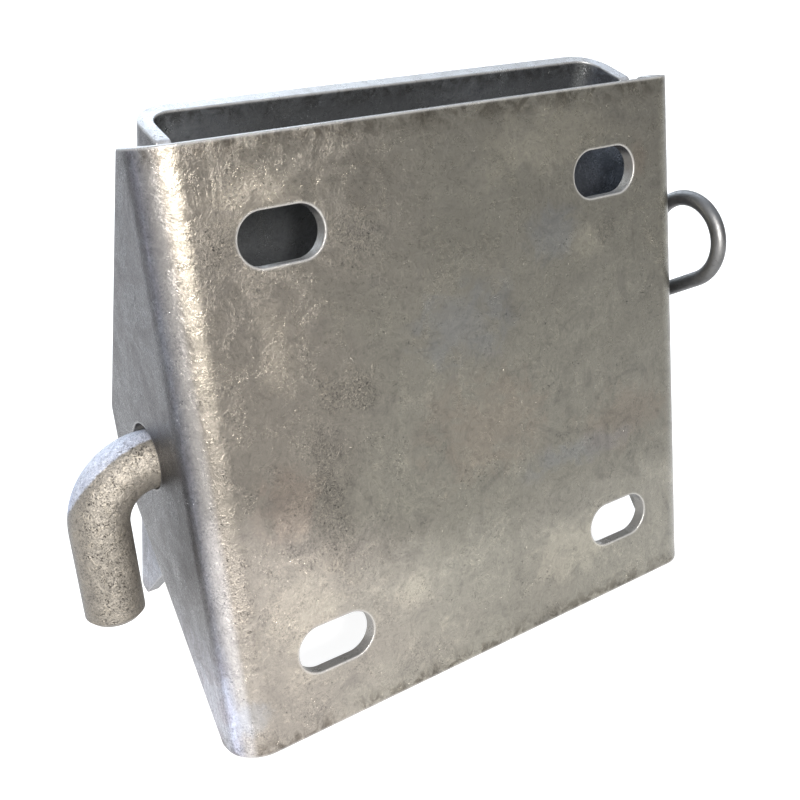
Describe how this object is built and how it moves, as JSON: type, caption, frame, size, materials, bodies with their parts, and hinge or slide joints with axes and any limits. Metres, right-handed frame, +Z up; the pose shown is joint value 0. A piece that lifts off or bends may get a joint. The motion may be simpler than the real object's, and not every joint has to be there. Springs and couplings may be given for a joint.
{
  "type": "pinned hinge bracket pair",
  "caption": "Two nested galvanised steel channel brackets joined by a bent hinge pin and a wire R-clip; slotted plates bolt to a gate, ramp or dock frame and its post or wall.",
  "frame": {"origin": "on the floor, at the middle of the standing pair's outline seen from above", "axes": "+Z up; +X along the hinge pin, from its bent leg towards its clip; -Y on the side that the outer bracket's plate faces. The pair stands on its flange toes as an A-frame."},
  "size_m": [0.209, 0.0986, 0.1614],
  "materials": {
    "galvanised_outer": "hot-dip galvanised, mottled satin",
    "galvanised_inner": "hot-dip galvanised, mottled satin",
    "galvanised_pin": "hot-dip galvanised, rough and pitted",
    "clip_wire": "zinc plated spring wire, smooth"
  },
  "bodies": {
    "outer_bracket": {"outer_bracket": "galvanised_outer"},
    "inner_bracket": {"inner_bracket": "galvanised_inner"},
    "hinge_pin": {"hinge_pin": "galvanised_pin"},
    "retaining_clip": {"retaining_clip": "clip_wire"}
  },
  "joints": [
    {"name": "bracket_hinge", "type": "hinge", "parent": "outer_bracket", "child": "inner_bracket", "pos_m": [0.0045, -0.00177, 0.07443], "axis": [1, 0, 0], "range_deg": [-58.5, 3.5]},
    {"name": "pin_turn", "type": "hinge", "parent": "outer_bracket", "child": "hinge_pin", "pos_m": [0.0045, -0.00177, 0.07353], "axis": [1, 0, 0], "continuous": true},
    {"name": "clip_pull", "type": "slide", "parent": "hinge_pin", "child": "retaining_clip", "axis": [0, -0.2181, 0.9759], "range_m": [0, 0.055], "deforming": ["retaining_clip"]}
  ]
}
